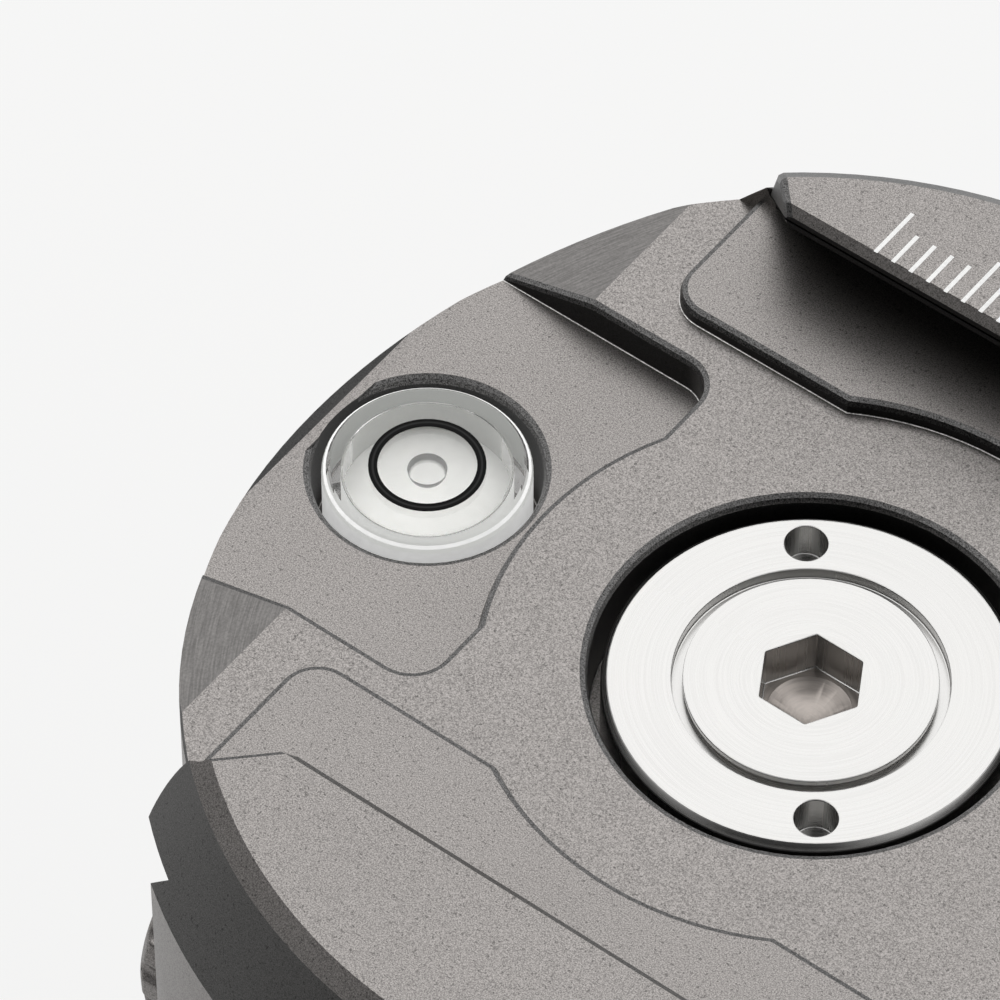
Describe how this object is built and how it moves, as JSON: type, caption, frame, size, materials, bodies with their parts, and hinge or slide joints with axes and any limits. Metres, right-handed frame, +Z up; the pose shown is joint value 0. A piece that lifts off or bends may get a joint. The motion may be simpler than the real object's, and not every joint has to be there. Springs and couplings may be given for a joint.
{
  "type": "ball head",
  "caption": "Tripod ball head with a round dovetail quick-release clamp, sliding jaw, bubble level, pan base and lock knobs.",
  "frame": {"origin": "centre of the foot's underside, at the mouth of the tripod thread", "axes": "+Z up along the pan axis; X along the clamp's channel, with the bubble level at -X; +Y towards the fixed jaw"},
  "size_m": [0.065, 0.0883, 0.0983],
  "materials": {
    "anodised_grey": "bead-blasted and anodised warm grey, satin",
    "ball_black": "hard-anodised black, polished",
    "stainless": "turned and polished",
    "steel": "zinc-plated",
    "brass": "turned",
    "grip_rubber": "matt, ribbed",
    "pale_plastic": "plain",
    "vial_clear": "clear acrylic",
    "vial_liquid": "clear, pale green",
    "ring_black": "printed",
    "level_white": "white"
  },
  "bodies": {
    "base": {"base_plate": "anodised_grey", "tripod_bushing": "stainless", "pan_washer": "pale_plastic", "pan_retainer": "steel", "retainer_screws": "steel"},
    "housing": {"housing": "anodised_grey", "housing_floor": "anodised_grey", "floor_screws": "steel", "lock_block": "anodised_grey", "lock_bushing": "brass"},
    "seat": {"ball_seat": "brass"},
    "plunger": {"lock_plunger": "steel"},
    "lock_knob": {"lock_spindle": "steel", "lock_knob_core": "anodised_grey", "lock_knob_grip": "grip_rubber", "lock_knob_cap": "anodised_grey"},
    "friction_pad": {"friction_pad": "pale_plastic"},
    "friction_knob": {"friction_spindle": "steel", "friction_knob": "anodised_grey"},
    "pan_pad": {"pan_lock_pad": "brass"},
    "pan_knob": {"pan_lock_spindle": "steel", "pan_lock_knob": "anodised_grey"},
    "ball": {"ball": "ball_black", "retaining_disc": "stainless", "stem_screw": "stainless"},
    "clamp": {"clamp_body": "anodised_grey", "jaw_springs": "steel", "level_vial": "vial_clear", "level_liquid": "vial_liquid", "level_ring": "ring_black", "level_base": "level_white"},
    "jaw": {"movable_jaw": "anodised_grey", "guide_pins": "steel", "jaw_washer": "steel"},
    "clamp_knob": {"clamp_screw": "steel", "clamp_knob_core": "anodised_grey", "clamp_knob_grip": "grip_rubber", "clamp_knob_cap": "anodised_grey"}
  },
  "joints": [
    {"name": "pan_turn", "type": "hinge", "parent": "base", "child": "housing", "pos_m": [0, 0, 0.013], "axis": [0, 0, 1], "continuous": true},
    {"name": "ball_tilt", "type": "hinge", "parent": "housing", "child": "ball", "pos_m": [0, 0, 0.05196], "axis": [0, 1, 0], "range_deg": [-38, 90]},
    {"name": "head_swivel", "type": "hinge", "parent": "ball", "child": "clamp", "pos_m": [0, 0, 0.08096], "axis": [0, 0, 1], "continuous": true},
    {"name": "jaw_slide", "type": "slide", "parent": "clamp", "child": "jaw", "axis": [0, -1, 0], "range_m": [-0.0038, 0.001], "deforming": ["jaw_springs"]},
    {"name": "clamp_knob_turn", "type": "hinge", "parent": "jaw", "child": "clamp_knob", "pos_m": [0, -0.0327, 0.08546], "axis": [0, -1, 0], "range_deg": [-1369, 361]},
    {"name": "lock_slide", "type": "slide", "parent": "housing", "child": "plunger", "axis": [0, -1, 0], "range_m": [0, 0.000625]},
    {"name": "lock_turn", "type": "hinge", "parent": "plunger", "child": "lock_knob", "pos_m": [0, -0.0271, 0.0259], "axis": [0, -1, 0], "range_deg": [-0.5, 180.5]},
    {"name": "seat_lift", "type": "slide", "parent": "housing", "child": "seat", "axis": [0, 0, 1], "range_m": [-0.000366, 0.000001]},
    {"name": "friction_slide", "type": "slide", "parent": "housing", "child": "friction_pad", "axis": [-1, 0, 0], "range_m": [0, 0.0004]},
    {"name": "friction_turn", "type": "hinge", "parent": "friction_pad", "child": "friction_knob", "pos_m": [-0.0251, 0, 0.04596], "axis": [-1, 0, 0], "range_deg": [-0.5, 180.5]},
    {"name": "pan_lock_slide", "type": "slide", "parent": "housing", "child": "pan_pad", "axis": [0, 1, 0], "range_m": [0, 0.0004]},
    {"name": "pan_lock_turn", "type": "hinge", "parent": "pan_pad", "child": "pan_knob", "pos_m": [0, 0.0256, 0.016], "axis": [0, 1, 0], "range_deg": [-0.5, 180.5]}
  ],
  "couplings": [
    {"joint": "clamp_knob_turn", "follows": "jaw_slide", "rad_per_m": 6283.2},
    {"joint": "lock_turn", "follows": "lock_slide", "rad_per_m": 5026.5},
    {"joint": "seat_lift", "follows": "lock_slide", "ratio": -0.58333},
    {"joint": "friction_turn", "follows": "friction_slide", "rad_per_m": 7854},
    {"joint": "pan_lock_turn", "follows": "pan_lock_slide", "rad_per_m": 7854}
  ]
}
